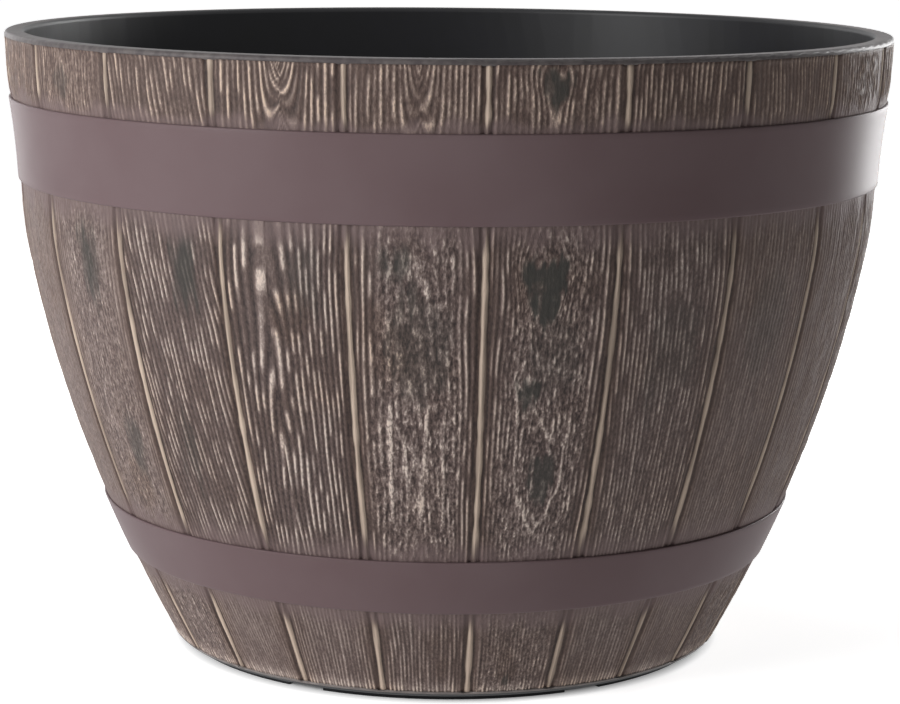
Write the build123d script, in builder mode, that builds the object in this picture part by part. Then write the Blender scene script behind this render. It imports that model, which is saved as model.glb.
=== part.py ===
# Barrel planter, moulded in one piece to look like a coopered tub, with five push-in
# drain plugs in its floor.
# Millimetres, +Z up. The origin is on the ground, on the barrel's axis.
import os

from build123d import *

# Overall sizes
height = 355.0
rim_diameter = 508.0
collar_diameter = 501.6  # at the upper hoop's top edge
neck_diameter = 491.2  # nearly upright here, just below the upper hoop
neck_height = 262.0
shoulder_diameter = 485.2  # where the long curve of the side turns upright
shoulder_height = 234.0
belly_diameter = 422.8
belly_height = 119.0
base_diameter = 315.6  # where the side would meet the ground if the corner were sharp

# Walls and edges
wall = 5.4  # measured level
rim_width = 11.0
rim_outer_round = 2.0
rim_inner_break = 1.0  # edge broken at 45 degrees
base_corner_round = 9.0
inner_corner_round = 8.0

# Staves, each parted from the next by a shallow channel
stave_count = 22
first_joint_angle = -85.5  # degrees from +X; the front is at -90
joint_width = 6.0
joint_depth = 1.2
rim_band = 3.0  # smooth edge left above the staves
base_lip = 3.6  # smooth edge left below the staves

# Hoops, raised on the same moulding
hoop_proud = 1.3
hoop_edge_break = 0.7  # edges broken at 45 degrees
upper_hoop_top = 318.0
upper_hoop_width = 47.0
lower_hoop_top = 88.5
lower_hoop_width = 31.5

# Base
foot_height = 2.5  # how far the stave side stops above the ground
foot_ring_diameter = 305.0
foot_ring_width = 8.0
floor_thickness = 5.0
floor_recess = 8.0  # the floor's underside above the ground
foot_notch_count = 6
foot_notch_width = 22.0
foot_notch_height = 2.0
rib_count = 12
rib_width = 3.5
rib_depth = 4.5
hub_ring_diameter = 84.0
hub_ring_width = 4.0

# Drain holes and their plugs
ring_hole_count = 4
ring_hole_circle = 190.0
drain_hole_diameter = 20.0
drain_boss_diameter = 34.0
drain_boss_depth = 4.0
plug_clearance = 0.3  # round the stem
plug_flange_overhang = 5.0  # beyond the hole, all round
plug_flange_thickness = 3.0
plug_edge_round = 1.0
plug_stem_short = 0.5  # the stem ends this far above the boss's lower face
plug_lead_in = 1.0
plug_wall = 2.2
pull_tab_width = 15.0
pull_tab_height = 11.0
pull_tab_thickness = 3.5
pull_tab_hole_diameter = 7.0

# Worked out from the sizes above
rim_radius = rim_diameter / 2
rim_inner_radius = rim_radius - rim_width
foot_ring_radius = foot_ring_diameter / 2
foot_ring_inner_radius = foot_ring_radius - foot_ring_width
hub_ring_radius = hub_ring_diameter / 2
floor_top = floor_recess + floor_thickness
reach = rim_diameter + height  # further than any point of the barrel
hoop_root = wall * 0.8  # the hoops' own material starts this deep in the wall

os.makedirs("parts", exist_ok=True)


# Draw a rectangle from its four limits
def limits(x_low, x_high, y_low, y_high, mode=Mode.ADD):
    with Locations(((x_low + x_high) / 2, (y_low + y_high) / 2)):
        Rectangle(x_high - x_low, y_high - y_low, mode=mode)


# Outline of the barrel as a filled shape, both sides of its axis: one long arc up to the
# shoulder, then three short ones, each carrying on smoothly from the last
with BuildSketch(Plane.XZ) as outline:
    with BuildLine():
        base_point = (base_diameter / 2, 0)
        belly_point = (belly_diameter / 2, belly_height)
        shoulder_point = (shoulder_diameter / 2, shoulder_height)
        neck_point = (neck_diameter / 2, neck_height)
        collar_point = (collar_diameter / 2, upper_hoop_top)
        rim_point = (rim_radius, height)
        long_curve = ThreePointArc(base_point, belly_point, shoulder_point)
        neck_curve = TangentArc(shoulder_point, neck_point, tangent=long_curve % 1)
        hoop_curve = TangentArc(neck_point, collar_point, tangent=neck_curve % 1)
        TangentArc(collar_point, rim_point, tangent=hoop_curve % 1)
        Line(rim_point, (0, height))
        Line((0, 0), base_point)
        mirror(about=Plane.YZ)
    make_face()

# Space inside, straight down from the rim until it meets the curved wall
with BuildSketch(Plane.XZ) as inside:
    with Locations((-wall, 0)):
        add(outline.sketch)
    limits(0, rim_inner_radius, height - wall, height + wall)
    limits(0, rim_inner_radius, floor_top, height + wall, mode=Mode.INTERSECT)
    fillet(inside.vertices().group_by(Axis.Y)[0].sort_by(Axis.X)[-1], inner_corner_round)

# Filled outer skin, above the foot ring
with BuildSketch(Plane.XZ) as skin:
    add(outline.sketch)
    limits(0, reach, foot_height, height, mode=Mode.INTERSECT)
    fillet(skin.vertices().group_by(Axis.Y)[-1].sort_by(Axis.X)[-1], rim_outer_round)
    fillet(skin.vertices().group_by(Axis.Y)[0].sort_by(Axis.X)[-1], base_corner_round)


# Section of a cut that follows the staves at one depth below their surface
def stave_cut(depth):
    with BuildSketch(Plane.XZ) as cut:
        limits(foot_ring_inner_radius, reach, foot_height + base_lip, height - rim_band)
        with Locations((-depth, 0)):
            add(skin.sketch, mode=Mode.SUBTRACT)
    return cut.sketch


# Section of a hoop: the side's own curve, stepped outwards, between two heights
def hoop_section(top, width):
    with BuildSketch(Plane.XZ) as hoop:
        with Locations((hoop_proud, 0)):
            add(outline.sketch)
        limits(0, reach, top - width, top, mode=Mode.INTERSECT)
        with Locations((-hoop_root, 0)):
            add(outline.sketch, mode=Mode.SUBTRACT)
        ends = (hoop.vertices().group_by(Axis.Y)[-1], hoop.vertices().group_by(Axis.Y)[0])
        chamfer([end.sort_by(Axis.X)[-1] for end in ends], hoop_edge_break)
    return hoop.sketch


# One stave joint, as the material that it removes
with BuildPart() as joint_cut:
    extrude(stave_cut(joint_depth), amount=joint_width / 2, both=True)

with BuildPart() as barrel_shell:
    # Wall and floor in one turn about the axis
    with BuildSketch(Plane.XZ) as wall_section:
        add(skin.sketch)
        add(inside.sketch, mode=Mode.SUBTRACT)
        limits(0, foot_ring_inner_radius, 0, floor_recess, mode=Mode.SUBTRACT)
        rim_corners = wall_section.vertices().group_by(Axis.Y)[-1]
        chamfer(rim_corners.sort_by(Axis.X)[0], rim_inner_break)
    revolve(axis=Axis.Z)

    # Joints between the staves
    with PolarLocations(0, stave_count, start_angle=first_joint_angle):
        add(joint_cut.part, mode=Mode.SUBTRACT)

    # Hoops, which bridge the joints
    for top, width in ((upper_hoop_top, upper_hoop_width), (lower_hoop_top, lower_hoop_width)):
        revolve(hoop_section(top, width), axis=Axis.Z)

    # Ring that the barrel stands on
    with BuildSketch(Plane.XY) as foot_ring:
        Circle(foot_ring_radius)
        Circle(foot_ring_inner_radius, mode=Mode.SUBTRACT)
    extrude(amount=floor_recess)

    # Stiffening under the floor: a hub ring, and ribs out to the foot ring
    with BuildSketch(Plane.XY.offset(floor_recess)) as stiffening:
        with PolarLocations((hub_ring_radius + foot_ring_radius) / 2, rib_count):
            Rectangle(foot_ring_radius - hub_ring_radius - hub_ring_width, rib_width)
        Circle(foot_ring_radius - foot_ring_width / 2, mode=Mode.INTERSECT)
        Circle(hub_ring_radius)
        Circle(hub_ring_radius - hub_ring_width, mode=Mode.SUBTRACT)
    extrude(amount=-rib_depth)

    # Bosses round the drain holes, and the holes
    with BuildSketch(Plane.XY.offset(floor_recess)) as bosses:
        Circle(drain_boss_diameter / 2)
        with PolarLocations(ring_hole_circle / 2, ring_hole_count, start_angle=180 / ring_hole_count):
            Circle(drain_boss_diameter / 2)
    extrude(amount=-drain_boss_depth)
    with BuildSketch(Plane.XY.offset(floor_top)) as holes:
        Circle(drain_hole_diameter / 2)
        with PolarLocations(ring_hole_circle / 2, ring_hole_count, start_angle=180 / ring_hole_count):
            Circle(drain_hole_diameter / 2)
    extrude(amount=-floor_top, mode=Mode.SUBTRACT)

    # Gaps in the foot ring that let the water run out
    with BuildSketch(Plane.XY) as notches:
        with PolarLocations(foot_ring_radius - foot_ring_width / 2, foot_notch_count):
            Rectangle(3 * foot_ring_width, foot_notch_width)
    extrude(amount=foot_notch_height, mode=Mode.SUBTRACT)

barrel_shell.part.label = "barrel_shell"
export_step(barrel_shell.part, "parts/barrel_shell.step")


# A drain plug in the hole at a place in the floor: a hollow stem under a wide flange,
# with an upright pull tab on top
def drain_plug(name, x, y):
    stem_radius = drain_hole_diameter / 2 - plug_clearance
    flange_radius = drain_hole_diameter / 2 + plug_flange_overhang
    stem_length = floor_thickness + drain_boss_depth - plug_stem_short
    flange_top = plug_flange_thickness
    seat = Plane((x, y, floor_top))
    section = Plane((x, y, floor_top), x_dir=(1, 0, 0), z_dir=(0, -1, 0))
    with BuildPart() as plug:
        with BuildSketch(section) as stem:
            limits(0, stem_radius, -stem_length, flange_top)
            stem_end = stem.vertices().group_by(Axis.Y)[0].sort_by(Axis.X)[-1]
            chamfer(stem_end, plug_lead_in)
            limits(0, stem_radius - plug_wall, -stem_length, 0, mode=Mode.SUBTRACT)
        revolve(axis=Axis((x, y, 0), (0, 0, 1)))
        with BuildSketch(section) as flange:
            limits(0, flange_radius, 0, flange_top)
            flange_edge = flange.vertices().group_by(Axis.Y)[-1].sort_by(Axis.X)[-1]
            fillet(flange_edge, plug_edge_round)
        revolve(axis=Axis((x, y, 0), (0, 0, 1)))
        tab_eye = flange_top + pull_tab_height - pull_tab_width / 2
        with BuildSketch(section) as tab:
            limits(-pull_tab_width / 2, pull_tab_width / 2, flange_top / 2, tab_eye)
            with Locations((0, tab_eye)):
                Circle(pull_tab_width / 2)
                Circle(pull_tab_hole_diameter / 2, mode=Mode.SUBTRACT)
        extrude(amount=pull_tab_thickness / 2, both=True)
    plug.part.label = name
    export_step(plug.part, f"parts/{name}.step")
    return plug.part


plug_places = [("middle", 0, 0)]
ring_names = ("back_right", "back_left", "front_left", "front_right")
for ring_name, place in zip(ring_names, PolarLocations(ring_hole_circle / 2, ring_hole_count, 45)):
    plug_places.append((ring_name, place.position.X, place.position.Y))
for place_name, x, y in plug_places:
    drain_plug("drain_plug_" + place_name, x, y)
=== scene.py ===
import math

import bmesh
import bpy
import numpy as np
from mathutils import Matrix, Vector


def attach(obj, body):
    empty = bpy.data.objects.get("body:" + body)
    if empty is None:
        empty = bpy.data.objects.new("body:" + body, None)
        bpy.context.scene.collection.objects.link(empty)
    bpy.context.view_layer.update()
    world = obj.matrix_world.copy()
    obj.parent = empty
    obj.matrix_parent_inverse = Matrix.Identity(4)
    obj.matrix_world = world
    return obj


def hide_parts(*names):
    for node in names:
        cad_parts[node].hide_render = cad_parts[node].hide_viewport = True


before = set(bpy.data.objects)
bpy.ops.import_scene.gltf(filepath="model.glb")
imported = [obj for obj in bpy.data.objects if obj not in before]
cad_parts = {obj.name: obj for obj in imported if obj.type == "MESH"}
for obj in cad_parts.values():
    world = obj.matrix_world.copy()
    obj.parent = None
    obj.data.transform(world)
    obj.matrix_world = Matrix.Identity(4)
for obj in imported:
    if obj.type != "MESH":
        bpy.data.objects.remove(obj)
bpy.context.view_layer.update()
print("frame loaded")

mm = 0.001  # every size below is in millimetres, as the part's own source has it
samePlace = 0.01  # points nearer than this are one

barrel = {
    "staveCount": 22,
    "firstJoint": 4.48,  # degrees from the front to the first joint, towards +X
    # height, radius and lean in degrees, from the ground up
    "side": [
        (0, 157.8, 28.4),
        (119, 211.4, 19.8),
        (234, 242.6, 10.4),
        (262, 245.7, 2.0),
        (318, 250.9, 9.0),
        (327, 252.6, 6.0),
        (355, 254.0, 0.5),
    ],
    "skinDepth": 2.8,  # the wall proper starts this far under the staves' faces
    "lipTop": 352.2,  # the staves' grain ends here, under the rim
    "lipBottom": 6.6,  # and here, above the foot
    "footPaint": 5.2,  # the paint ends here
}
staveAngle = 360 / barrel["staveCount"]


# Radius of the barrel's side at a height
def sideRadius(height):
    keys = np.array(barrel["side"], float)
    height = np.asarray(height, float)
    low = np.clip(np.searchsorted(keys[:, 0], height, side="right") - 1, 0, len(keys) - 2)
    heightA, radiusA, leanA = keys[low].T
    heightB, radiusB, leanB = keys[low + 1].T
    step = heightB - heightA
    part = (height - heightA) / step
    rise = radiusB - radiusA
    slopeA, slopeB = np.tan(np.radians(leanA)) * step, np.tan(np.radians(leanB)) * step
    curve = (slopeA + slopeB - 2 * rise) * part**3 + (3 * rise - 2 * slopeA - slopeB) * part**2
    return radiusA + slopeA * part + curve


# Smooth step from 0 to 1 as a value goes from one limit to the other
def ease(low, high, value):
    part = np.clip((value - low) / (high - low), 0, 1)
    return part * part * (3 - 2 * part)


# Repeatable random value from 0 to 1 at each whole point of a grid
def gridValue(column, row, seed):
    value = np.sin(column * 127.1 + row * 311.7 + seed * 74.7) * 43758.5453
    return value - np.floor(value)


# Smooth noise from 0 to 1 between those values
def smoothNoise(across, along, seed):
    column, row = np.floor(across), np.floor(along)
    a, b = across - column, along - row
    a, b = a * a * (3 - 2 * a), b * b * (3 - 2 * b)
    low = gridValue(column, row, seed) * (1 - a) + gridValue(column + 1, row, seed) * a
    high = gridValue(column, row + 1, seed) * (1 - a) + gridValue(column + 1, row + 1, seed) * a
    return low * (1 - b) + high * b


# Noise about zero, at most half the amount either way
def wobble(amount, across, along, seed):
    return amount * (smoothNoise(across, along, seed) - 0.5)


# Colour as a linear value with its alpha, from its sRGB hex
def toLinear(hexColour):
    linear = []
    for place in (1, 3, 5):
        part = int(hexColour[place:place + 2], 16) / 255
        linear.append(part / 12.92 if part <= 0.04045 else ((part + 0.055) / 1.055) ** 2.4)
    return linear + [1.0]


# Adds a node with its settings, its sockets' values and its links
def addNode(tree, kind, settings=None, values=None, links=None):
    node = tree.nodes.new(kind)
    for name, value in (settings or {}).items():
        setattr(node, name, value)
    for name, value in (values or {}).items():
        node.inputs[name].default_value = value
    for name, socket in (links or {}).items():
        tree.links.new(socket, node.inputs[name])
    return node


# Adds a maths node on a socket and either another socket or a number
def addMath(tree, operation, first, second, clamp=False):
    settings = {"operation": operation, "use_clamp": clamp}
    node = addNode(tree, "ShaderNodeMath", settings, links={0: first})
    if isinstance(second, bpy.types.NodeSocket):
        tree.links.new(second, node.inputs[1])
    else:
        node.inputs[1].default_value = second
    return node.outputs[0]


# Adds noise over the piece's own coordinates, by the size of its patches
def addNoise(tree, place, size, detail=3.0):
    values = {"Scale": 1 / (size * mm), "Detail": detail}
    noise = addNode(tree, "ShaderNodeTexNoise", values=values, links={"Vector": place})
    return noise.outputs["Fac"]


# Adds a colour ramp along a value, its stops each a place and a hex colour
def addRamp(tree, value, stops):
    node = addNode(tree, "ShaderNodeValToRGB", links={"Fac": value})
    elements = node.color_ramp.elements
    while len(elements) < len(stops):
        elements.new(0.5)
    for element, (place, hexColour) in zip(elements, stops):
        element.position = place
        element.color = toLinear(hexColour)
    return node.outputs["Color"]


# Mixes a hex colour into a colour by a mask. A mix node's inputs 0, 6 and 7 are its factor
# and its two colours, and its output 2 is the mixed colour.
def addMix(tree, mask, colour, hexColour, blend="MIX"):
    settings = {"data_type": "RGBA", "blend_type": blend}
    mix = addNode(tree, "ShaderNodeMix", settings, {7: toLinear(hexColour)}, {0: mask, 6: colour})
    return mix.outputs[2]


# Adds a look's bump to a shader
def addBump(tree, shader, height, look):
    values = {"Strength": look["bump"], "Distance": look["bumpDepth"] * mm}
    bump = addNode(tree, "ShaderNodeBump", values=values, links={"Height": height})
    tree.links.new(bump.outputs[0], shader.inputs["Normal"])


# A new material as shiny as a look says: also its node tree, its shader and the
# coordinates of the piece that wears it
def newMaterial(name, look):
    material = bpy.data.materials.new(name)
    material.use_nodes = True
    tree = material.node_tree
    shader = tree.nodes["Principled BSDF"]
    shader.inputs["Roughness"].default_value = look["roughness"]
    shader.inputs["Specular IOR Level"].default_value = look["specular"]
    place = addNode(tree, "ShaderNodeTexCoord").outputs["Object"]
    return material, tree, shader, place


# Makes an object of a bmesh, rides it on the barrel and has it stand for the moulded shell
def addPiece(name, bm, materials):
    mesh = bpy.data.meshes.new(name)
    bm.to_mesh(mesh)
    bm.free()
    for material in materials:
        mesh.materials.append(material)
    mesh.polygons.foreach_set("use_smooth", [True] * len(mesh.polygons))
    piece = bpy.data.objects.new(name, mesh)
    bpy.context.collection.objects.link(piece)
    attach(piece, "barrel")
    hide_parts("barrel_shell")
    return piece


# A ring, from a closed outline of (radius, height) points: a grid whose columns go round the
# barrel's axis from one joint to another, or all the way, and whose rows go round the outline
def bendRing(outline, columns, firstAngle=0.0, turn=360.0):
    bm = bmesh.new()
    bmesh.ops.create_grid(bm, x_segments=columns, y_segments=len(outline), size=1)
    outline = outline + outline[:1]
    for vert in bm.verts:
        radius, height = outline[round((vert.co.y + 1) / 2 * (len(outline) - 1))]
        angle = math.radians(firstAngle - 90 + (vert.co.x + 1) / 2 * turn)
        vert.co = (radius * math.cos(angle) * mm, radius * math.sin(angle) * mm, height * mm)
    seam = [vert for vert in bm.verts if vert.is_boundary]
    bmesh.ops.remove_doubles(bm, verts=seam, dist=samePlace * mm)
    ends = [edge for edge in bm.edges if edge.is_boundary]
    if ends:
        bmesh.ops.holes_fill(bm, edges=ends, sides=0)
    bmesh.ops.recalc_face_normals(bm, faces=bm.faces)
    return bm


# Moulded polyester resin with a painted wood grain: dark stain in the valleys, pale colour
# dry-brushed on the ridges, so that the eye reads old weathered oak
paint = {
    "grain": [  # from the valleys up to the crests
        (0.0, "#2f2524"),
        (0.42, "#635450"),
        (0.76, "#94857f"),
        (1.0, "#d6c6bb"),
    ],
    "blotch": "#302f2c",
    "joint": "#c7b3a2",
    "overspray": "#6f5e5d",
    "warm": "#8a7458",  # tan glaze that shows in patches
    "warmPatch": 55.0,
    "warmMost": 0.32,
    "fineWidth": 1.1,  # finest brush streaks, across
    "fineLength": 2.6,  # and along
    "fineShare": 2.0,  # how far they shift the grain's colour where it is rubbed
    "bump": 0.7,
    "bumpDepth": 0.45,
    "roughness": 0.6,
    "specular": 0.25,
}


def makeGrainPaint():
    material, tree, shader, place = newMaterial("grainPaintedResin", paint)
    maps = addNode(tree, "ShaderNodeAttribute", {"attribute_name": "grainMaps"})
    parts = addNode(tree, "ShaderNodeSeparateColor", links={"Color": maps.outputs["Color"]})
    height, blotch, spray = (parts.outputs[name] for name in ("Red", "Green", "Blue"))
    joint = maps.outputs["Alpha"]
    extras = addNode(tree, "ShaderNodeAttribute", {"attribute_name": "grainExtras"})
    parts = addNode(tree, "ShaderNodeSeparateColor", links={"Color": extras.outputs["Color"]})
    rubbed, tan = parts.outputs["Red"], parts.outputs["Green"]

    across, along = 1 / (paint["fineWidth"] * mm), 1 / (paint["fineLength"] * mm)
    stretched = addNode(
        tree, "ShaderNodeMapping", values={"Scale": (across, across, along)},
        links={"Vector": place})
    fine = addNode(
        tree, "ShaderNodeTexNoise", values={"Scale": 1.0, "Detail": 2.0, "Roughness": 0.6},
        links={"Vector": stretched.outputs[0]}).outputs["Fac"]
    worn = addMath(tree, "MULTIPLY", addMath(tree, "SUBTRACT", fine, 0.5), rubbed)
    worn = addMath(tree, "MULTIPLY", worn, paint["fineShare"])
    colour = addRamp(tree, addMath(tree, "ADD", height, worn, clamp=True), paint["grain"])

    patches = addNoise(tree, place, paint["warmPatch"])
    glaze = addNode(
        tree, "ShaderNodeMapRange",
        values={"From Min": 0.45, "From Max": 0.75, "To Max": paint["warmMost"]},
        links={"Value": patches}).outputs[0]
    colour = addMix(tree, addMath(tree, "MAXIMUM", glaze, tan), colour, paint["warm"], "OVERLAY")
    for mask, name in ((blotch, "blotch"), (joint, "joint"), (spray, "overspray")):
        colour = addMix(tree, mask, colour, paint[name])
    tree.links.new(colour, shader.inputs["Base Color"])
    addBump(tree, shader, fine, paint)
    return material


# Satin purple-brown paint over the smooth moulded hoops, a little uneven where it was sprayed
hoopPaint = {
    "colours": [(0.35, "#695759"), (0.65, "#6e5d5f")],
    "patch": 60.0,
    "orangePeel": 2.5,
    "bump": 0.08,
    "bumpDepth": 0.1,
    "roughness": 0.45,
    "specular": 0.1,
}


def makeHoopPaint():
    material, tree, shader, place = newMaterial("satinHoopPaint", hoopPaint)
    patches = addNoise(tree, place, hoopPaint["patch"])
    colour = addRamp(tree, patches, hoopPaint["colours"])
    tree.links.new(colour, shader.inputs["Base Color"])
    addBump(tree, shader, addNoise(tree, place, hoopPaint["orangePeel"], 2.0), hoopPaint)
    return material


# Bare black resin as it left the mould: even, slightly glossy, with a faint flow pattern
bareResin = {
    "colours": [(0.35, "#0b0b0e"), (0.7, "#141419")],
    "flowWidth": 40.0,
    "roughness": 0.46,
    "specular": 0.35,
}


def makeBareResin():
    material, tree, shader, place = newMaterial("bareBlackResin", bareResin)
    flow = addNoise(tree, place, bareResin["flowWidth"], 4.0)
    tree.links.new(addRamp(tree, flow, bareResin["colours"]), shader.inputs["Base Color"])
    return material


# Smooth edges of the moulding: black resin dusted by the overspray, its grey also a painted sheen,
# the white surroundings and floor reflected at a grazing view, and worn shiny by handling
rimDustAndSheen = {
    "colours": [(0.35, "#4c4647"), (0.68, "#645e5d")],
    "dustSize": 5.0,
    "bump": 0.3,
    "bumpDepth": 0.3,
    "roughness": 0.5,
    "specular": 0.22,
}
footDustAndSheen = {
    "colours": [(0.35, "#6b6462"), (0.68, "#837b78")],
    "dustSize": 7.0,
    "bump": 0.3,
    "bumpDepth": 0.3,
    "roughness": 0.4,
    "specular": 0.22,
}


def makeDustAndSheenResin(name, look):
    material, tree, shader, place = newMaterial(name, look)
    dust = addNoise(tree, place, look["dustSize"])
    tree.links.new(addRamp(tree, dust, look["colours"]), shader.inputs["Base Color"])
    addBump(tree, shader, dust, look)
    return material


grainPaint = makeGrainPaint()
satinPaint = makeHoopPaint()
blackResin = makeBareResin()
rimDustAndSheenResin = makeDustAndSheenResin("dustAndSheenRimResin", rimDustAndSheen)
footDustAndSheenResin = makeDustAndSheenResin("dustAndSheenFootResin", footDustAndSheen)
print("materials made")

# The moulded grain. Each stave has its own run of grain. A stave's number counts from the
# one right of the front joint, towards +X. "across" is from the stave's middle, as if it
# were as wide all the way up as at its widest, and "up" is from the ground.
grain = {
    "columns": 112,  # to a stave
    "closeColumns": (0, 0.5, 1.0, 1.4, 1.7, 2.1, 2.6, 3.1, 3.7, 4.4),  # from a joint's middle
    "rowHeight": 1.7,
    "backRowHeight": 18.0,
    "overlap": 1.0,  # the staves' backs lie this far inside the wall
    "halfPitch": 35.5,  # of the staves where the barrel is widest
    "leanFrom": 180,  # height where a leaning line crosses its own place
    "taperReach": {"above": 5, "between": 14, "below": 5},  # either side of the heart
    "depth": 1.1,  # from the ridges' tops to the valleys
    "blotchDepth": 0.35,
    "calmed": {"spray": 0.6, "blotch": 0.7, "softAndWashedOut": 0.5},  # how much relief each takes away
    "jointHalf": 1.6,  # the flat strip between two staves
    "jointSink": 0.6,  # the strip lies this far below the ridges
    "jointCrown": 0.9,  # and its edges this much lower
    "jointRagged": 0.7,
    "creaseWidth": 1.0,  # sharp groove on each side of the strip
    "creaseDepth": 1.4,
    "shoulder": 1.6,  # the ridges round off over this width beside a groove
    "fade": {"above": 9.0, "between": 16.0, "below": 13.0},  # the hoops' paint floods it this near
    "fadeRagged": 9.0,
    "fadeMost": 0.88,
    "lipFade": 3.0,  # the relief dies away this near the rim
    "glaze": 0.32,  # of the tan patches and of all the grain above the hoops
    "glazeByJoint": 0.45,
    "glazeReach": 6.0,  # from a joint
    "lift": {"above": 0.11, "between": 0.06, "below": 0.06},  # makes the paint paler
    "seed": 7,
}
hoops = {
    "upper": {"top": 318.0, "bottom": 271.5},
    "lower": {"top": 88.5, "bottom": 57.0},
    "proud": 1.3,
    "edgeRound": 0.9,
    "sunk": 3.5,  # back of the ring, under the staves' faces
    "cover": 1.5,  # the staves run this far under a hoop
    "rows": 14,
    "steps": 440,
}

# How each stave's grain runs, as a board cut from a log: how far the log's heart lies from
# the stave's middle, the height where the board's face meets it and how fast it leaves it,
# then the lean and spacing of the lines, their share and the specks', and how far its tone
# is flattened towards a middle value: softer paint, and on the staves towards the sides a
# painted wash-out of the grazing side light
staveGrain = {
    "between": {
        17: (60, 100, 0.00, 0.00, 2.8, 0.7, 0.4, 0.60),
        18: (-45, 100, 0.00, 0.00, 2.8, 0.6, 0.7, 0.40),
        19: (60, 100, 0.00, 0.12, 3.2, 1.0, 0.1, 0.12),
        20: (-9, 60, 0.06, 0.00, 3.1, 1.0, 0.1, 0.0),
        21: (-2, 70, 0.08, 0.00, 3.0, 0.9, 0.75, 0.0),
        0: (-4, 190, 0.04, 0.00, 3.0, 0.9, 0.75, 0.0),
        1: (45, 100, 0.00, 0.03, 2.8, 0.95, 0.25, 0.15),
        2: (50, 100, 0.00, 0.00, 2.8, 0.8, 0.2, 0.40),
        3: (-50, 100, 0.00, 0.00, 3.0, 0.8, 0.2, 0.60),
    },
    "above": {
        18: (-5, 334, 0.10, 0.00, 2.9, 0.7, 0.4, 0.20),
        19: (50, 300, 0.00, 0.10, 3.2, 0.9, 0.1, 0.10),
        20: (3, 343, -0.80, 0.00, 3.0, 0.9, 0.0, 0.0),
        21: (2, 342, -0.50, 0.00, 3.0, 0.8, 0.2, 0.0),
        0: (-2, 318, 0.10, 0.00, 3.2, 0.8, 0.3, 0.0),
        1: (60, 300, 0.00, 0.00, 2.8, 0.9, 0.1, 0.10),
        2: (-60, 300, 0.00, 0.05, 2.7, 0.9, 0.1, 0.25),
    },
    "below": {
        19: (50, 20, 0.00, 0.10, 2.8, 0.8, 0.2, 0.50),
        20: (50, 20, 0.00, 0.00, 3.0, 0.8, 0.2, 0.35),
        21: (-40, 20, 0.00, 0.00, 3.2, 0.8, 0.2, 0.20),
        0: (-7, 60, 0.10, 0.00, 3.0, 0.6, 0.5, 0.10),
        1: (45, 20, 0.00, 0.04, 2.8, 0.8, 0.2, 0.40),
        2: (45, 20, 0.00, 0.04, 2.8, 0.8, 0.2, 0.50),
    },
}
# Knots: place, half width, how many times taller than wide, how far they point downwards,
# and how dark they are
knots = [
    {"stave": 0, "across": -3.7, "up": 237, "half": 11.0, "tall": 1.65, "point": 0.55, "dark": 0.95},
    {"stave": 0, "across": -9.8, "up": 183, "half": 5.5, "tall": 1.5, "point": 0.6, "dark": 0.9},
    {"stave": 0, "across": 1.9, "up": 133, "half": 7.5, "tall": 1.9, "point": 0.5, "dark": 0.8},
    {"stave": 0, "across": -2.0, "up": 340, "half": 7.0, "tall": 1.3, "point": 0.5, "dark": 0.9},
    {"stave": 0, "across": -4.6, "up": 13, "half": 2.0, "tall": 1.2, "point": 0.0, "dark": 0.9},
    {"stave": 18, "across": -5.2, "up": 334, "half": 7.0, "tall": 1.3, "point": 0.2, "dark": 0.45},
    {"stave": 6, "across": 4.0, "up": 205, "half": 7.0, "tall": 1.8, "point": 0.4, "dark": 0.9},
    {"stave": 9, "across": -6.0, "up": 150, "half": 5.0, "tall": 2.0, "point": 0.2, "dark": 0.8},
    {"stave": 12, "across": 3.0, "up": 225, "half": 8.0, "tall": 1.7, "point": 0.5, "dark": 0.9},
    {"stave": 14, "across": -4.0, "up": 336, "half": 6.0, "tall": 1.4, "point": 0.4, "dark": 0.8},
]
# Pale ridges that stand out of the grain, from one place to another
strokes = [
    {"stave": 21, "from": (-15.2, 178), "to": (-16.0, 112), "half": 1.3},
    {"stave": 21, "from": (-13.0, 168), "to": (2.5, 142), "half": 1.1},
    {"stave": 21, "from": (5.6, 172), "to": (3.0, 146), "half": 1.2},
    {"stave": 21, "from": (3.0, 146), "to": (0.4, 112), "half": 1.6},
    {"stave": 21, "from": (-8.0, 160), "to": (-6.5, 118), "half": 1.0},
    {"stave": 21, "from": (15.0, 175), "to": (14.0, 108), "half": 1.0},
    {"stave": 0, "from": (-16.5, 190), "to": (-13.5, 128), "half": 0.9},
    {"stave": 0, "from": (-13.5, 128), "to": (0.0, 104), "half": 0.9},
    {"stave": 0, "from": (0.0, 104), "to": (12.5, 128), "half": 0.9},
    {"stave": 0, "from": (12.5, 128), "to": (14.5, 160), "half": 0.9},
    {"stave": 0, "from": (-14.0, 188), "to": (6.0, 158), "half": 1.0},
]
# Patches where the tan glaze is thick
tanPatches = [
    {"stave": 20, "across": 2.0, "up": 222, "half": 13.0, "tall": 1.3},
    {"stave": 0, "across": -6.0, "up": 24, "half": 12.0, "tall": 1.2},
    {"stave": 21, "across": -24.0, "up": 215, "half": 9.0, "tall": 3.0},
    {"stave": 21, "across": 14.0, "up": 24, "half": 8.0, "tall": 1.4},
    {"stave": 18, "across": 0.0, "up": 112, "half": 14.0, "tall": 1.2},
    {"stave": 21, "across": 6.0, "up": 340, "half": 14.0, "tall": 1.2},
]
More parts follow.
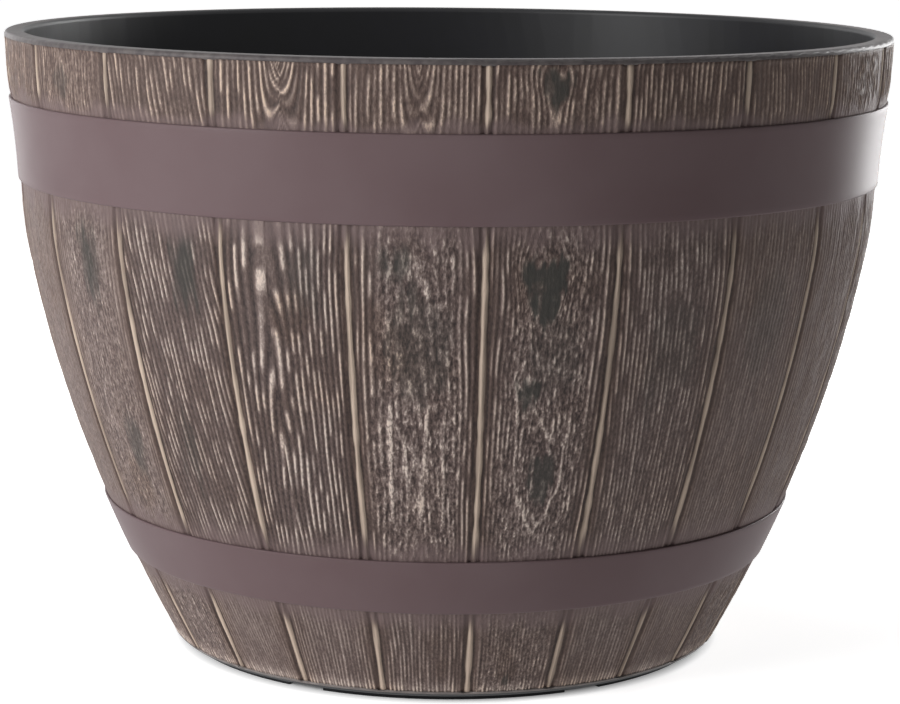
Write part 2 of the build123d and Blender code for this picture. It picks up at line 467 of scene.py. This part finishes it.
# Dark smudges that follow the grain without bending it
smudges = [
    {"stave": 18, "across": 5.2, "up": 240, "half": 9.0, "tall": 2.3, "dark": 0.8},
    {"stave": 19, "across": 11.0, "up": 242, "half": 9.0, "tall": 2.4, "dark": 0.85},
    {"stave": 18, "across": 10.4, "up": 140, "half": 7.0, "tall": 2.6, "dark": 0.6},
    {"stave": 19, "across": -7.7, "up": 142, "half": 7.0, "tall": 2.6, "dark": 0.45},
    {"stave": 21, "across": -9.8, "up": 251, "half": 6.5, "tall": 1.6, "dark": 0.75},
    {"stave": 21, "across": -3.0, "up": 235, "half": 6.5, "tall": 1.8, "dark": 0.65},
    {"stave": 1, "across": -8.0, "up": 190, "half": 7.0, "tall": 2.6, "dark": 0.3},
    {"stave": 1, "across": 4.0, "up": 205, "half": 17.0, "tall": 1.5, "dark": 0.3},
    {"stave": 21, "across": 2.0, "up": 208, "half": 18.0, "tall": 1.6, "dark": 0.4},
    {"stave": 0, "across": 4.0, "up": 205, "half": 15.0, "tall": 1.5, "dark": 0.3},
    {"stave": 20, "across": 12.0, "up": 243, "half": 12.0, "tall": 1.6, "dark": 0.35},
    {"stave": 2, "across": 0.0, "up": 215, "half": 16.0, "tall": 2.0, "dark": 0.3},
    {"stave": 4, "across": 6.0, "up": 210, "half": 8.0, "tall": 2.2, "dark": 0.5},
    {"stave": 8, "across": -5.0, "up": 235, "half": 8.0, "tall": 2.2, "dark": 0.5},
    {"stave": 13, "across": 8.0, "up": 170, "half": 7.0, "tall": 2.4, "dark": 0.4},
]
# How ragged the edges of the smudges and of the tan patches are: by how much, over what width
# and length, and how far they fade outwards and inwards
smudgeEdge = {"ragged": 9, "width": 2.5, "length": 16, "outwards": 4, "inwards": 5, "seed": 55}
glazeEdge = {"ragged": 6, "width": 6, "length": 9, "outwards": 5, "inwards": 6, "seed": 91}


# Each stave's grain in a zone: its own, or else one drawn at random
def grainStyles(zone):
    random = np.random.default_rng(grain["seed"] + len(zone))
    styles = []
    for number in range(barrel["staveCount"]):
        chance = random.random(8)
        drawn = (
            90 * (chance[0] - 0.5), 100 + 150 * chance[1], 0.15 * chance[2],
            0.1 * (chance[3] - 0.5), 2.7 + 0.6 * chance[4], 0.7 + 0.25 * chance[5],
            0.1 + 0.6 * chance[6], 0.1 + 0.3 * chance[7])
        styles.append(staveGrain[zone].get(number, drawn))
    return np.array(styles)


# The grain's field bent round a knot, and the knot's dark stain
def knotAt(knot, stave, field, across, up):
    here = stave == knot["stave"]
    fromKnot = across - knot["across"]
    upFrom = (up - knot["up"]) / knot["tall"]
    upFrom = upFrom - 0.5 * knot["point"] * (np.abs(fromKnot) - knot["half"] / 3)
    narrowed = fromKnot / (1 + knot["point"] * np.tanh(upFrom / knot["half"]))
    away = np.sqrt(narrowed**2 + upFrom**2) + 1e-6
    push = np.sign(fromKnot) * knot["half"] * np.exp(-np.maximum(away - knot["half"], 0) / 5)
    bent = field - 0.6 * push * (1 - np.exp(-np.abs(fromKnot) / 2))
    rough = away + wobble(6, across / 1.8, up / 7, 77)
    dashes = 1 - 0.25 * ease(0.62, 0.85, smoothNoise(across / 2.2, up / 10, 31))
    stain = knot["dark"] * dashes * ease(knot["half"] + 1.5, knot["half"] - 2, rough)
    return np.where(here, bent, field), here * stain


# A ragged patch, from 0 outside to 1 inside
def patchAt(patch, edge, stave, across, up):
    away = np.hypot(across - patch["across"], (up - patch["up"]) / patch["tall"])
    away = away + wobble(edge["ragged"], across / edge["width"], up / edge["length"], edge["seed"])
    inside = ease(patch["half"] + edge["outwards"], patch["half"] - edge["inwards"], away)
    return (stave == patch["stave"]) * inside


# A pale stroke between its two ends, from 0 outside to 1 inside
def strokeAt(stroke, across, up):
    (acrossA, upA), (acrossB, upB) = stroke["from"], stroke["to"]
    step = np.array([acrossB - acrossA, upB - upA])
    part = np.clip(((across - acrossA) * step[0] + (up - upA) * step[1]) / (step @ step), 0, 1)
    away = np.hypot(across - acrossA - part * step[0], up - upA - part * step[1])
    return ease(stroke["half"] + 0.7, stroke["half"] - 0.5, away)


# The grain at each place of a zone: how high it stands, its blotches, its specks, how far
# it is flattened (softer paint, and a painted wash-out of the side light on the staves
# towards the sides) and its tan patches, each from 0 to 1
def grainAt(zone, stave, across, up):
    heart, meets, taper, lean, spacing, lines, specks, softAndWashedOut = grainStyles(zone)[stave].T

    # Distance from the log's heart, less than zero on its left: the lines follow it
    sideways = across - heart + lean * (up - grain["leanFrom"])
    side = np.where(sideways < 0, -1, 1)
    nearHeart = np.exp(-np.abs(sideways) / grain["taperReach"][zone])
    field = side * (np.sqrt(sideways**2 + 0.6) + taper * (up - meets) * nearHeart)
    field = field + wobble(5, across / 45 + 9, up / 110, stave)
    field = field + wobble(1.2, across / 11 + 5, up / 32, stave + 40)

    blotch = np.zeros(len(across))
    for knot in knots:
        field, stain = knotAt(knot, stave, field, across, up)
        blotch = np.maximum(blotch, stain)
    for smudge in smudges:
        stain = smudge["dark"] * patchAt(smudge, smudgeEdge, stave, across, up)
        blotch = np.maximum(blotch, stain)
    glaze = np.zeros(len(across))
    for patch in tanPatches:
        glaze = np.maximum(glaze, patchAt(patch, glazeEdge, stave, across, up))

    # Lines, each broken into long dashes by its own number, and specks in a stave's middle
    specks = specks * ease(31, 18, np.abs(across) + wobble(10, across / 9, up / 40, 61))
    place = field / spacing + 0.5 * smoothNoise(field / 9, up / 30, stave + 80)
    number = np.round(place)
    wave = 0.5 + 0.5 * np.cos(2 * np.pi * (place - number))
    long = ease(0.28, 0.7, smoothNoise(number, up / 11, stave + 120))
    short = ease(0.3, 0.7, smoothNoise(number, up / 3.3, stave + 200))
    loose = smoothNoise(across / 1.35, up / 12, stave + 240)
    speck = smoothNoise(across / 1.25 + 500, up / 2.9, stave + 160)
    lined = lines * wave * (0.35 + 0.65 * long) + (1 - lines) * loose
    specked = 0.1 + 0.45 * ease(0.3, 0.8, speck) + 0.4 * wave * short
    height = (1 - specks) * lined + specks * specked

    wander = across + wobble(1.6, across / 5, up / 9, 71)
    for stroke in strokes:
        raised = 0.9 * strokeAt(stroke, wander, up) * (0.7 + 0.3 * long)
        height = np.where(stave == stroke["stave"], np.maximum(height, raised), height)
    return height, blotch, specks, softAndWashedOut, glaze


# How far round the pitch each column of a stave stands: close together by the joints
def columnPlaces():
    pitch = 2 * grain["halfPitch"]
    left = np.array(grain["closeColumns"])
    middle = np.linspace(left[-1], pitch - left[-1], grain["columns"] - 2 * len(left) + 3)[1:-1]
    right = pitch - left[1:][::-1]
    return np.concatenate([left, middle, right]) / pitch


# Stores four values at each point of a mesh, for its material to read
def storeMap(mesh, name, values):
    layer = mesh.attributes.new(name, "FLOAT_COLOR", "POINT")
    layer.data.foreach_set("color", np.stack(values, 1).ravel())


# A ring of staves between two heights, over a turn of whole staves
def addStaves(name, zone, bottom, top, firstStave, count):
    columns = grain["columns"]
    rows = np.linspace(bottom, top, int(round((top - bottom) / grain["rowHeight"])) + 1)
    backRows = np.linspace(top, bottom, int((top - bottom) / grain["backRowHeight"]) + 2)
    backDepth = barrel["skinDepth"] + grain["overlap"]
    outline = [(sideRadius(row), row) for row in rows]
    outline += [(sideRadius(row) - backDepth, row) for row in backRows]
    firstAngle = barrel["firstJoint"] + firstStave * staveAngle
    bm = bendRing(outline, columns * count, firstAngle, count * staveAngle)
    mesh = addPiece(name, bm, [grainPaint]).data
    points = np.empty(3 * len(mesh.vertices))
    mesh.vertices.foreach_get("co", points)
    points = points.reshape(-1, 3) / mm
    radius, up = np.hypot(points[:, 0], points[:, 1]), points[:, 2]
    side = sideRadius(up)

    # Which stave each point is on, and where its column goes
    turned = np.degrees(np.arctan2(points[:, 1], points[:, 0])) + 90 - barrel["firstJoint"]
    column = np.round(turned * columns / staveAngle).astype(int)
    stave = np.floor_divide(column, columns)
    part = columnPlaces()[column - stave * columns]
    angle = np.radians(barrel["firstJoint"] - 90 + (stave + part) * staveAngle)
    across = (part - 0.5) * 2 * grain["halfPitch"]
    fromJoint = np.minimum(part, 1 - part) * np.radians(staveAngle) * side
    ragged = wobble(grain["jointRagged"], np.round(stave + part) * 5, up / 8, 350)
    fromJoint = np.maximum(fromJoint + ragged * ease(0, 1, fromJoint), 0)
    height, blotch, specks, softAndWashedOut, glaze = grainAt(zone, stave % barrel["staveCount"], across, up)

    # The hoops' paint, where it ran out over the grain
    toHoop = np.full(len(up), np.inf)
    for hoop in (hoops["upper"], hoops["lower"]):
        gap = np.maximum(up - hoop["top"], hoop["bottom"] - up)
        toHoop = np.minimum(toHoop, np.maximum(gap, 0))
    uneven = wobble(grain["fadeRagged"], across / 9 + stave * 13, up / 30, 301)
    spray = grain["fadeMost"] * ease(grain["fade"][zone], 1.0, toHoop + uneven)

    # Relief: the grain, rounded off beside the grooves, and the crowned strip between them
    crease = grain["jointHalf"] + grain["creaseWidth"]
    rounded = ease(crease, crease + grain["shoulder"], fromJoint)
    isStrip = ease(grain["jointHalf"] + 0.15, grain["jointHalf"] - 0.25, fromJoint)
    crown = (fromJoint / grain["jointHalf"]) ** 2
    calm = ease(barrel["lipTop"], barrel["lipTop"] - grain["lipFade"], up)
    for calmer, amount in (("spray", spray), ("blotch", blotch), ("softAndWashedOut", softAndWashedOut)):
        calm = calm * (1 - grain["calmed"][calmer] * amount)
    relief = -grain["depth"] * (1 - height) * calm - grain["blotchDepth"] * blotch
    relief = relief * rounded - grain["creaseDepth"] * (1 - rounded) * (1 - isStrip)
    stripDepth = grain["jointSink"] + grain["jointCrown"] * crown
    relief = relief * (1 - isStrip) - stripDepth * isStrip
    isOuter = radius > side - barrel["skinDepth"] / 2
    newRadius = np.where(isOuter, side + relief, radius)
    points = np.stack([newRadius * np.cos(angle), newRadius * np.sin(angle), up], 1) * mm
    mesh.vertices.foreach_set("co", points.ravel())

    # What the paint reads: its shade, blotches, overspray and strips, then rubbed and tan
    # A painted highlight on the lowest 15 mm of the staves, where the base's rounded edge catches
    # the light
    paintedFootHighlight = 0.3 * ease(15, 7, up)
    # Flattening pulls the tone towards a middle value: softer paint, and on the staves towards the
    # sides a painted wash-out of the grazing side light
    shade = grain["lift"][zone] + height * (1 - softAndWashedOut) + 0.5 * softAndWashedOut + paintedFootHighlight
    worn = 0.62 + 0.38 * ease(0.2, 0.6, smoothNoise(stave * 3.7, up / 28, 401))
    strip = isStrip * worn * (1 - 0.6 * crown) * (1 - 0.95 * spray)
    storeMap(mesh, "grainMaps", [
        shade * (0.35 + 0.65 * rounded), blotch * rounded, spray * (0.7 + 0.3 * height), strip])
    rubbed = (0.3 + 0.7 * specks) * (1 - 0.7 * softAndWashedOut) * (1 - isStrip)
    fromStrip = np.maximum(fromJoint - grain["jointHalf"], 0)
    tan = grain["glazeByJoint"] * np.exp(-fromStrip / grain["glazeReach"])
    tan = np.maximum(tan, grain["glaze"] * (1.0 if zone == "above" else glaze))
    storeMap(mesh, "grainExtras", [rubbed, tan, np.zeros(len(up)), np.ones(len(up))])
    mesh.update()
    print(name, "made")


addStaves(
    "stavesAboveHoops", "above", hoops["upper"]["top"] - hoops["cover"], barrel["lipTop"],
    0, barrel["staveCount"])
for side, firstStave, count in (("Front", -4, 7), ("Right", 3, 5), ("Back", 8, 5), ("Left", 13, 5)):
    addStaves(
        "stavesBetween" + side, "between", hoops["lower"]["top"] - hoops["cover"],
        hoops["upper"]["bottom"] + hoops["cover"], firstStave, count)
addStaves(
    "stavesBelowHoops", "below", barrel["lipBottom"], hoops["lower"]["bottom"] + hoops["cover"],
    0, barrel["staveCount"])


# A hoop: a smooth raised ring with softened edges
def addHoop(name, hoop):
    bottom, top = hoop["bottom"], hoop["top"]
    rows = np.linspace(bottom, top, hoops["rows"])
    outline = [(sideRadius(row) + hoops["proud"], row) for row in rows]
    outline += [(sideRadius(row) - hoops["sunk"], row) for row in (top, bottom)]
    bm = bendRing(outline, hoops["steps"])
    corners = []
    for edge in bm.edges:
        heights = [vert.co.z / mm for vert in edge.verts]
        radius = math.hypot(*edge.verts[0].co.xy) / mm
        isLevel = abs(heights[0] - heights[1]) < samePlace
        isEnd = min(abs(heights[0] - bottom), abs(heights[0] - top)) < samePlace
        if isLevel and isEnd and radius > sideRadius(heights[0]):
            corners.append(edge)
    bmesh.ops.bevel(
        bm, geom=corners, offset=hoops["edgeRound"] * mm, offset_type="OFFSET", segments=3,
        profile=0.5, affect="EDGES", material=-1)
    addPiece(name, bm, [satinPaint])


addHoop("hoopUpper", hoops["upper"])
addHoop("hoopLower", hoops["lower"])
print("hoops made")

# The wall, floor and foot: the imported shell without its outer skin, closed by a plain wall
# that lies just under the staves
liner = {
    "weld": 0.002,
    "rows": (351, 318, 290, 262, 248, 234, 195, 157, 119, 80, 40, 7),  # of the plain wall
    "rimRadius": 246,  # the rim's look starts outside this radius
    "rimHeight": 350,  # and above this height
    "footRadius": 156,  # the foot's look starts outside this radius
    "footTop": 8,  # and below this height
    "sharpAngle": 35,  # degrees
}


def addLiner():
    bm = bmesh.new()
    bm.from_mesh(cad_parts["barrel_shell"].data)
    bmesh.ops.remove_doubles(bm, verts=bm.verts, dist=liner["weld"] * mm)
    for height in (barrel["footPaint"], barrel["lipBottom"], barrel["lipTop"]):
        everything = list(bm.verts) + list(bm.edges) + list(bm.faces)
        level = (0, 0, height * mm)
        bmesh.ops.bisect_plane(bm, geom=everything, plane_co=level, plane_no=(0, 0, 1))
    skin = []
    for face in bm.faces:
        middle = face.calc_center_median() / mm
        isBetween = barrel["lipBottom"] < middle.z < barrel["lipTop"]
        if isBetween and middle.xy.length > sideRadius(middle.z) - barrel["skinDepth"]:
            skin.append(face)
    bmesh.ops.delete(bm, geom=skin, context="FACES")

    # Carry the upper open edge down under the staves and join it to the lower one
    halfway = barrel["lipTop"] / 2 * mm
    edges = [edge for edge in bm.edges if edge.is_boundary]
    ring = [edge for edge in edges if edge.verts[0].co.z > halfway]
    lowerRing = [edge for edge in edges if edge.verts[0].co.z < halfway]
    for height in liner["rows"]:
        made = bmesh.ops.extrude_edge_only(bm, edges=ring)["geom"]
        ring = [item for item in made if isinstance(item, bmesh.types.BMEdge)]
        radius = (float(sideRadius(height)) - barrel["skinDepth"]) * mm
        for vert in (item for item in made if isinstance(item, bmesh.types.BMVert)):
            angle = math.atan2(vert.co.y, vert.co.x)
            vert.co = (radius * math.cos(angle), radius * math.sin(angle), height * mm)
    bmesh.ops.bridge_loops(bm, edges=ring + lowerRing)
    bmesh.ops.recalc_face_normals(bm, faces=bm.faces)
    for face in bm.faces:
        middle = face.calc_center_median() / mm
        radius = middle.xy.length
        if middle.z > liner["rimHeight"] and radius > liner["rimRadius"]:
            face.material_index = 1
        elif radius > liner["footRadius"] and barrel["footPaint"] < middle.z < liner["footTop"]:
            face.material_index = 2
    piece = addPiece("wallAndFloor", bm, [blackResin, rimDustAndSheenResin, footDustAndSheenResin])
    piece.data.set_sharp_from_angle(angle=math.radians(liner["sharpAngle"]))


addLiner()
print("liner made")

# Moulded polypropylene of the plugs: black, waxy, finely grained by the mould
plugPlastic = {
    "colours": [(0.4, "#17171a"), (0.7, "#26262a")],
    "wearSize": 9.0,
    "grainSize": 0.9,
    "bump": 0.2,
    "bumpDepth": 0.05,
    "roughness": 0.48,
    "specular": 0.5,
}


def makePlugPlastic():
    material, tree, shader, place = newMaterial("mouldedPolypropylene", plugPlastic)
    wear = addNoise(tree, place, plugPlastic["wearSize"])
    tree.links.new(addRamp(tree, wear, plugPlastic["colours"]), shader.inputs["Base Color"])
    addBump(tree, shader, addNoise(tree, place, plugPlastic["grainSize"], 2.0), plugPlastic)
    return material


plugMaterial = makePlugPlastic()
for name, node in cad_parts.items():
    if name.startswith("drain_plug"):
        for slot in node.material_slots:
            slot.material = plugMaterial
print("plugs painted")

# Camera, as the photograph was taken
view = {
    "distance": 1643.5,  # level, from the barrel's axis
    "height": 449.5,
    "focalPixels": 2833.9,
    "imageWidth": 900,
    "sensorWidth": 36,
    "pitchDown": 0.1708,  # radians
    "yaw": 0.0012,
    "roll": 0.0084,
    "seesTo": 100,  # metres
}


def addCamera():
    data = bpy.data.cameras.new("camera")
    data.sensor_width = view["sensorWidth"]
    data.sensor_fit = "HORIZONTAL"
    data.lens = view["focalPixels"] / view["imageWidth"] * data.sensor_width
    data.clip_end = view["seesTo"]
    camera = bpy.data.objects.new("camera", data)
    place = Matrix.Translation((0, -view["distance"] * mm, view["height"] * mm))
    turn = Matrix.Rotation(-view["yaw"], 4, "Z")
    turn = turn @ Matrix.Rotation(math.pi / 2 - view["pitchDown"], 4, "X")
    camera.matrix_world = place @ turn @ Matrix.Rotation(view["roll"], 4, "Z")
    bpy.context.collection.objects.link(camera)
    bpy.context.scene.camera = camera


addCamera()

# Soft boxes: place and aim in metres, size, and power in watts
lamps = {
    "softboxLeft": {"at": (-1.95, -1.3, 0.8), "aim": (0, 0, 0.2), "size": (1.1, 1.1), "power": 46},
    "stripLeft": {"at": (-1.1, 1.5, 0.5), "aim": (0, 0, 0.2), "size": (0.5, 1.2), "power": 5},
    "stripRight": {"at": (1.25, 1.45, 0.35), "aim": (0, 0, 0.15), "size": (0.4, 1.2), "power": 24},
    "overhead": {"at": (0.0, 0.1, 1.9), "aim": (0, 0, 0.2), "size": (1.2, 0.8), "power": 2.5},
}


def addLamps():
    for name, lamp in lamps.items():
        data = bpy.data.lights.new(name, "AREA")
        data.shape = "RECTANGLE"
        data.size, data.size_y = lamp["size"]
        data.energy = lamp["power"]
        light = bpy.data.objects.new(name, data)
        light.location = lamp["at"]
        aim = Vector(lamp["aim"]) - Vector(lamp["at"])
        light.rotation_euler = aim.to_track_quat("-Z", "Y").to_euler()
        bpy.context.collection.objects.link(light)


addLamps()

# White surroundings as the camera and reflections see them, dim as a light
surroundings = {"light": 0.015, "seen": 1.0}


# 1 for a ray of any of the named kinds, else 0
def addRayTest(tree, *kinds):
    ray = addNode(tree, "ShaderNodeLightPath")
    seen = ray.outputs[kinds[0]]
    for kind in kinds[1:]:
        seen = addMath(tree, "MAXIMUM", seen, ray.outputs[kind])
    return seen


def setWorld():
    world = bpy.data.worlds.new("studio")
    world.use_nodes = True
    bpy.context.scene.world = world
    tree = world.node_tree
    tree.nodes.clear()
    seen = addRayTest(tree, "Is Camera Ray", "Is Glossy Ray", "Is Transmission Ray")
    strength = addNode(
        tree, "ShaderNodeMapRange",
        values={"To Min": surroundings["light"], "To Max": surroundings["seen"]},
        links={"Value": seen})
    background = addNode(
        tree, "ShaderNodeBackground", values={"Color": (1, 1, 1, 1)},
        links={"Strength": strength.outputs[0]})
    addNode(tree, "ShaderNodeOutputWorld", links={"Surface": background.outputs[0]})


setWorld()

# Pale floor: it keeps the shadow, fades to white further off, and throws some light back
floorLook = {
    "half": 12.0,
    "colour": "#f4f4f4",
    "roughness": 0.9,
    "specular": 0.0,
    "glow": 0.29,  # as a light
    "near": 0.8,  # as the camera sees it, by the barrel
    "far": 1.0,
    "fadeFrom": 0.3,  # metres from the barrel's axis
    "fadeTo": 0.9,
    "underFrom": 0.148,  # dark under the barrel
    "underTo": 0.162,
}


def addFloor():
    bm = bmesh.new()
    bmesh.ops.create_grid(bm, x_segments=1, y_segments=1, size=floorLook["half"])
    mesh = bpy.data.meshes.new("floor")
    bm.to_mesh(mesh)
    bm.free()
    material, tree, shader, place = newMaterial("paperFloor", floorLook)
    shader.inputs["Base Color"].default_value = toLinear(floorLook["colour"])
    shader.inputs["Emission Color"].default_value = (1, 1, 1, 1)
    away = addNode(tree, "ShaderNodeVectorMath", {"operation": "LENGTH"}, links={0: place})
    away = away.outputs["Value"]
    fade = addNode(
        tree, "ShaderNodeMapRange", {"interpolation_type": "SMOOTHSTEP"},
        {"From Min": floorLook["fadeFrom"], "From Max": floorLook["fadeTo"],
         "To Min": floorLook["near"], "To Max": floorLook["far"]}, {"Value": away})
    glow = addNode(
        tree, "ShaderNodeMapRange", values={"To Min": floorLook["glow"]},
        links={"Value": addRayTest(tree, "Is Camera Ray", "Is Glossy Ray"),
               "To Max": fade.outputs[0]})
    under = addNode(
        tree, "ShaderNodeMapRange",
        values={"From Min": floorLook["underFrom"], "From Max": floorLook["underTo"]},
        links={"Value": away})
    strength = addMath(tree, "MULTIPLY", glow.outputs[0], under.outputs[0])
    tree.links.new(strength, shader.inputs["Emission Strength"])
    mesh.materials.append(material)
    floor = bpy.data.objects.new("floor", mesh)
    bpy.context.collection.objects.link(floor)


addFloor()
bpy.context.scene.view_settings.view_transform = "Standard"
print("stage made")
